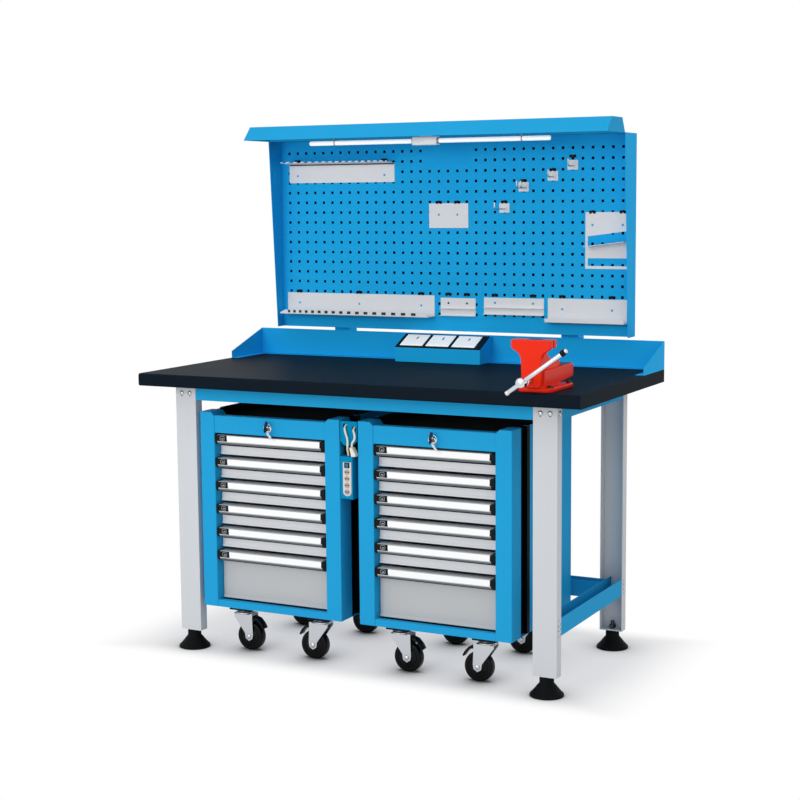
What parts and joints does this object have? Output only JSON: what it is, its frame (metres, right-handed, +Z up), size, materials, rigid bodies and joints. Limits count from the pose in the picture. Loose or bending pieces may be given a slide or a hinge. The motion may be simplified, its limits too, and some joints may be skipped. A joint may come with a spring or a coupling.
{
  "type": "workbench",
  "caption": "Workbench with a perforated back panel, lamp canopy, bench vise and roller cabinets with sliding drawers.",
  "frame": {"origin": "on the floor under the middle of the worktop", "axes": "+X to the right along the worktop as seen from its front, +Y to the rear towards the panel, +Z up"},
  "size_m": [1.5, 0.89, 1.69],
  "materials": {
    "worktop_board": "black laminate, satin",
    "leg_grey": "light grey powder coat",
    "frame_blue": "blue powder coat",
    "holder_grey": "light grey powder coat",
    "drawer_grey": "grey powder coat with a white and grey grip",
    "vise_red": "red gloss paint",
    "chrome": "polished",
    "zinc": "zinc plated",
    "foot_rubber": "matte black",
    "wheel_black": "satin black",
    "lamp_white": "white",
    "strip_teal": "teal powder coat with a white strip",
    "cord_cream": "cream"
  },
  "bodies": {
    "bench": {"worktop": "worktop_board", "legs": "leg_grey", "frame_rails": "frame_blue", "frame_bolts": "zinc", "upstand": "frame_blue", "perforated_panel": "frame_blue", "panel_frame": "frame_blue", "canopy": "frame_blue", "strip_lamp": "lamp_white", "socket_box": "frame_blue", "panel_holders": "holder_grey", "pliers_rack": "holder_grey", "bracket_holder": "holder_grey", "vise_body": "vise_red"},
    "foot_front_left": {"foot_front_left": "foot_rubber"},
    "foot_front_right": {"foot_front_right": "foot_rubber"},
    "foot_rear_left": {"foot_rear_left": "foot_rubber"},
    "foot_rear_right": {"foot_rear_right": "foot_rubber"},
    "vise_jaw": {"vise_jaw": "vise_red"},
    "vise_screw": {"vise_screw": "chrome"},
    "vise_handle": {"vise_handle": "chrome"},
    "left_cabinet": {"left_shell": "frame_blue", "power_strip": "strip_teal", "strip_cord": "cord_cream", "strip_plug": "lamp_white"},
    "left_lock": {"left_lock": "chrome"},
    "left_drawer_1": {"left_drawer_1": "drawer_grey"},
    "left_drawer_2": {"left_drawer_2": "drawer_grey"},
    "left_drawer_3": {"left_drawer_3": "drawer_grey"},
    "left_drawer_4": {"left_drawer_4": "drawer_grey"},
    "left_drawer_5": {"left_drawer_5": "drawer_grey"},
    "left_drawer_6": {"left_drawer_6": "drawer_grey"},
    "left_fork_front_left": {"left_fork_front_left": "zinc"},
    "left_wheel_front_left": {"left_wheel_front_left": "wheel_black"},
    "left_pedal_front_left": {"left_pedal_front_left": "wheel_black"},
    "left_fork_front_right": {"left_fork_front_right": "zinc"},
    "left_wheel_front_right": {"left_wheel_front_right": "wheel_black"},
    "left_pedal_front_right": {"left_pedal_front_right": "wheel_black"},
    "left_fork_rear_left": {"left_fork_rear_left": "zinc"},
    "left_wheel_rear_left": {"left_wheel_rear_left": "wheel_black"},
    "left_fork_rear_right": {"left_fork_rear_right": "zinc"},
    "left_wheel_rear_right": {"left_wheel_rear_right": "wheel_black"},
    "right_cabinet": {"right_shell": "frame_blue"},
    "right_lock": {"right_lock": "chrome"},
    "right_drawer_1": {"right_drawer_1": "drawer_grey"},
    "right_drawer_2": {"right_drawer_2": "drawer_grey"},
    "right_drawer_3": {"right_drawer_3": "drawer_grey"},
    "right_drawer_4": {"right_drawer_4": "drawer_grey"},
    "right_drawer_5": {"right_drawer_5": "drawer_grey"},
    "right_drawer_6": {"right_drawer_6": "drawer_grey"},
    "right_fork_front_left": {"right_fork_front_left": "zinc"},
    "right_wheel_front_left": {"right_wheel_front_left": "wheel_black"},
    "right_pedal_front_left": {"right_pedal_front_left": "wheel_black"},
    "right_fork_front_right": {"right_fork_front_right": "zinc"},
    "right_wheel_front_right": {"right_wheel_front_right": "wheel_black"},
    "right_pedal_front_right": {"right_pedal_front_right": "wheel_black"},
    "right_fork_rear_left": {"right_fork_rear_left": "zinc"},
    "right_wheel_rear_left": {"right_wheel_rear_left": "wheel_black"},
    "right_fork_rear_right": {"right_fork_rear_right": "zinc"},
    "right_wheel_rear_right": {"right_wheel_rear_right": "wheel_black"}
  },
  "joints": [
    {"name": "foot_front_left_screw", "type": "slide", "parent": "bench", "child": "foot_front_left", "axis": [0, 0, 1], "range_m": [-0.02, 0]},
    {"name": "foot_front_right_screw", "type": "slide", "parent": "bench", "child": "foot_front_right", "axis": [0, 0, 1], "range_m": [-0.02, 0]},
    {"name": "foot_rear_left_screw", "type": "slide", "parent": "bench", "child": "foot_rear_left", "axis": [0, 0, 1], "range_m": [-0.02, 0]},
    {"name": "foot_rear_right_screw", "type": "slide", "parent": "bench", "child": "foot_rear_right", "axis": [0, 0, 1], "range_m": [-0.02, 0]},
    {"name": "vise_jaw_slide", "type": "slide", "parent": "bench", "child": "vise_jaw", "axis": [0, -1, 0], "range_m": [0, 0.1]},
    {"name": "vise_screw_turn", "type": "hinge", "parent": "vise_jaw", "child": "vise_screw", "pos_m": [0.601, -0.44, 0.937], "axis": [0, 1, 0], "range_deg": [0, 7200]},
    {"name": "vise_lever_slide", "type": "slide", "parent": "vise_screw", "child": "vise_handle", "axis": [0.8141, 0, 0.5807], "range_m": [-0.125, 0.035]},
    {"name": "left_cabinet_roll", "type": "slide", "parent": "bench", "child": "left_cabinet", "axis": [0, -1, 0], "range_m": [0, 0.6]},
    {"name": "left_lock_turn", "type": "hinge", "parent": "left_cabinet", "child": "left_lock", "pos_m": [-0.308, -0.308, 0.736], "axis": [0, 1, 0], "range_deg": [0, 90]},
    {"name": "left_drawer_1_slide", "type": "slide", "parent": "left_cabinet", "child": "left_drawer_1", "axis": [0, -1, 0], "range_m": [0, 0.33]},
    {"name": "left_drawer_2_slide", "type": "slide", "parent": "left_cabinet", "child": "left_drawer_2", "axis": [0, -1, 0], "range_m": [0, 0.33]},
    {"name": "left_drawer_3_slide", "type": "slide", "parent": "left_cabinet", "child": "left_drawer_3", "axis": [0, -1, 0], "range_m": [0, 0.33]},
    {"name": "left_drawer_4_slide", "type": "slide", "parent": "left_cabinet", "child": "left_drawer_4", "axis": [0, -1, 0], "range_m": [0, 0.33]},
    {"name": "left_drawer_5_slide", "type": "slide", "parent": "left_cabinet", "child": "left_drawer_5", "axis": [0, -1, 0], "range_m": [0, 0.33]},
    {"name": "left_drawer_6_slide", "type": "slide", "parent": "left_cabinet", "child": "left_drawer_6", "axis": [0, -1, 0], "range_m": [0, 0.33]},
    {"name": "left_fork_front_left_swivel", "type": "hinge", "parent": "left_cabinet", "child": "left_fork_front_left", "pos_m": [-0.453, -0.24, 0.126], "axis": [0, 0, 1], "continuous": true},
    {"name": "left_wheel_front_left_roll", "type": "hinge", "parent": "left_fork_front_left", "child": "left_wheel_front_left", "pos_m": [-0.427, -0.24, 0.0465], "axis": [0, 1, 0], "continuous": true},
    {"name": "left_pedal_front_left_tip", "type": "hinge", "parent": "left_fork_front_left", "child": "left_pedal_front_left", "pos_m": [-0.42, -0.24, 0.106], "axis": [0, 1, 0], "range_deg": [0, 8]},
    {"name": "left_fork_front_right_swivel", "type": "hinge", "parent": "left_cabinet", "child": "left_fork_front_right", "pos_m": [-0.163, -0.24, 0.126], "axis": [0, 0, 1], "continuous": true},
    {"name": "left_wheel_front_right_roll", "type": "hinge", "parent": "left_fork_front_right", "child": "left_wheel_front_right", "pos_m": [-0.189, -0.24, 0.0465], "axis": [0, 1, 0], "continuous": true},
    {"name": "left_pedal_front_right_tip", "type": "hinge", "parent": "left_fork_front_right", "child": "left_pedal_front_right", "pos_m": [-0.196, -0.24, 0.106], "axis": [0, -1, 0], "range_deg": [0, 8]},
    {"name": "left_fork_rear_left_swivel", "type": "hinge", "parent": "left_cabinet", "child": "left_fork_rear_left", "pos_m": [-0.453, 0.1, 0.126], "axis": [0, 0, 1], "continuous": true},
    {"name": "left_wheel_rear_left_roll", "type": "hinge", "parent": "left_fork_rear_left", "child": "left_wheel_rear_left", "pos_m": [-0.427, 0.1, 0.0465], "axis": [0, 1, 0], "continuous": true},
    {"name": "left_fork_rear_right_swivel", "type": "hinge", "parent": "left_cabinet", "child": "left_fork_rear_right", "pos_m": [-0.163, 0.1, 0.126], "axis": [0, 0, 1], "continuous": true},
    {"name": "left_wheel_rear_right_roll", "type": "hinge", "parent": "left_fork_rear_right", "child": "left_wheel_rear_right", "pos_m": [-0.189, 0.1, 0.0465], "axis": [0, 1, 0], "continuous": true},
    {"name": "right_cabinet_roll", "type": "slide", "parent": "bench", "child": "right_cabinet", "axis": [0, -1, 0], "range_m": [0, 0.6]},
    {"name": "right_lock_turn", "type": "hinge", "parent": "right_cabinet", "child": "right_lock", "pos_m": [0.2625, -0.308, 0.736], "axis": [0, 1, 0], "range_deg": [0, 90]},
    {"name": "right_drawer_1_slide", "type": "slide", "parent": "right_cabinet", "child": "right_drawer_1", "axis": [0, -1, 0], "range_m": [0, 0.33]},
    {"name": "right_drawer_2_slide", "type": "slide", "parent": "right_cabinet", "child": "right_drawer_2", "axis": [0, -1, 0], "range_m": [0, 0.33]},
    {"name": "right_drawer_3_slide", "type": "slide", "parent": "right_cabinet", "child": "right_drawer_3", "axis": [0, -1, 0], "range_m": [0, 0.33]},
    {"name": "right_drawer_4_slide", "type": "slide", "parent": "right_cabinet", "child": "right_drawer_4", "axis": [0, -1, 0], "range_m": [0, 0.33]},
    {"name": "right_drawer_5_slide", "type": "slide", "parent": "right_cabinet", "child": "right_drawer_5", "axis": [0, -1, 0], "range_m": [0, 0.33]},
    {"name": "right_drawer_6_slide", "type": "slide", "parent": "right_cabinet", "child": "right_drawer_6", "axis": [0, -1, 0], "range_m": [0, 0.33]},
    {"name": "right_fork_front_left_swivel", "type": "hinge", "parent": "right_cabinet", "child": "right_fork_front_left", "pos_m": [0.1175, -0.24, 0.126], "axis": [0, 0, 1], "continuous": true},
    {"name": "right_wheel_front_left_roll", "type": "hinge", "parent": "right_fork_front_left", "child": "right_wheel_front_left", "pos_m": [0.1435, -0.24, 0.0465], "axis": [0, 1, 0], "continuous": true},
    {"name": "right_pedal_front_left_tip", "type": "hinge", "parent": "right_fork_front_left", "child": "right_pedal_front_left", "pos_m": [0.1505, -0.24, 0.106], "axis": [0, 1, 0], "range_deg": [0, 8]},
    {"name": "right_fork_front_right_swivel", "type": "hinge", "parent": "right_cabinet", "child": "right_fork_front_right", "pos_m": [0.4075, -0.24, 0.126], "axis": [0, 0, 1], "continuous": true},
    {"name": "right_wheel_front_right_roll", "type": "hinge", "parent": "right_fork_front_right", "child": "right_wheel_front_right", "pos_m": [0.3815, -0.24, 0.0465], "axis": [0, 1, 0], "continuous": true},
    {"name": "right_pedal_front_right_tip", "type": "hinge", "parent": "right_fork_front_right", "child": "right_pedal_front_right", "pos_m": [0.3745, -0.24, 0.106], "axis": [0, -1, 0], "range_deg": [0, 8]},
    {"name": "right_fork_rear_left_swivel", "type": "hinge", "parent": "right_cabinet", "child": "right_fork_rear_left", "pos_m": [0.1175, 0.1, 0.126], "axis": [0, 0, 1], "continuous": true},
    {"name": "right_wheel_rear_left_roll", "type": "hinge", "parent": "right_fork_rear_left", "child": "right_wheel_rear_left", "pos_m": [0.1435, 0.1, 0.0465], "axis": [0, 1, 0], "continuous": true},
    {"name": "right_fork_rear_right_swivel", "type": "hinge", "parent": "right_cabinet", "child": "right_fork_rear_right", "pos_m": [0.4075, 0.1, 0.126], "axis": [0, 0, 1], "continuous": true},
    {"name": "right_wheel_rear_right_roll", "type": "hinge", "parent": "right_fork_rear_right", "child": "right_wheel_rear_right", "pos_m": [0.3815, 0.1, 0.0465], "axis": [0, 1, 0], "continuous": true}
  ],
  "couplings": [
    {"joint": "vise_screw_turn", "follows": "vise_jaw_slide", "rad_per_m": 1256.6}
  ]
}
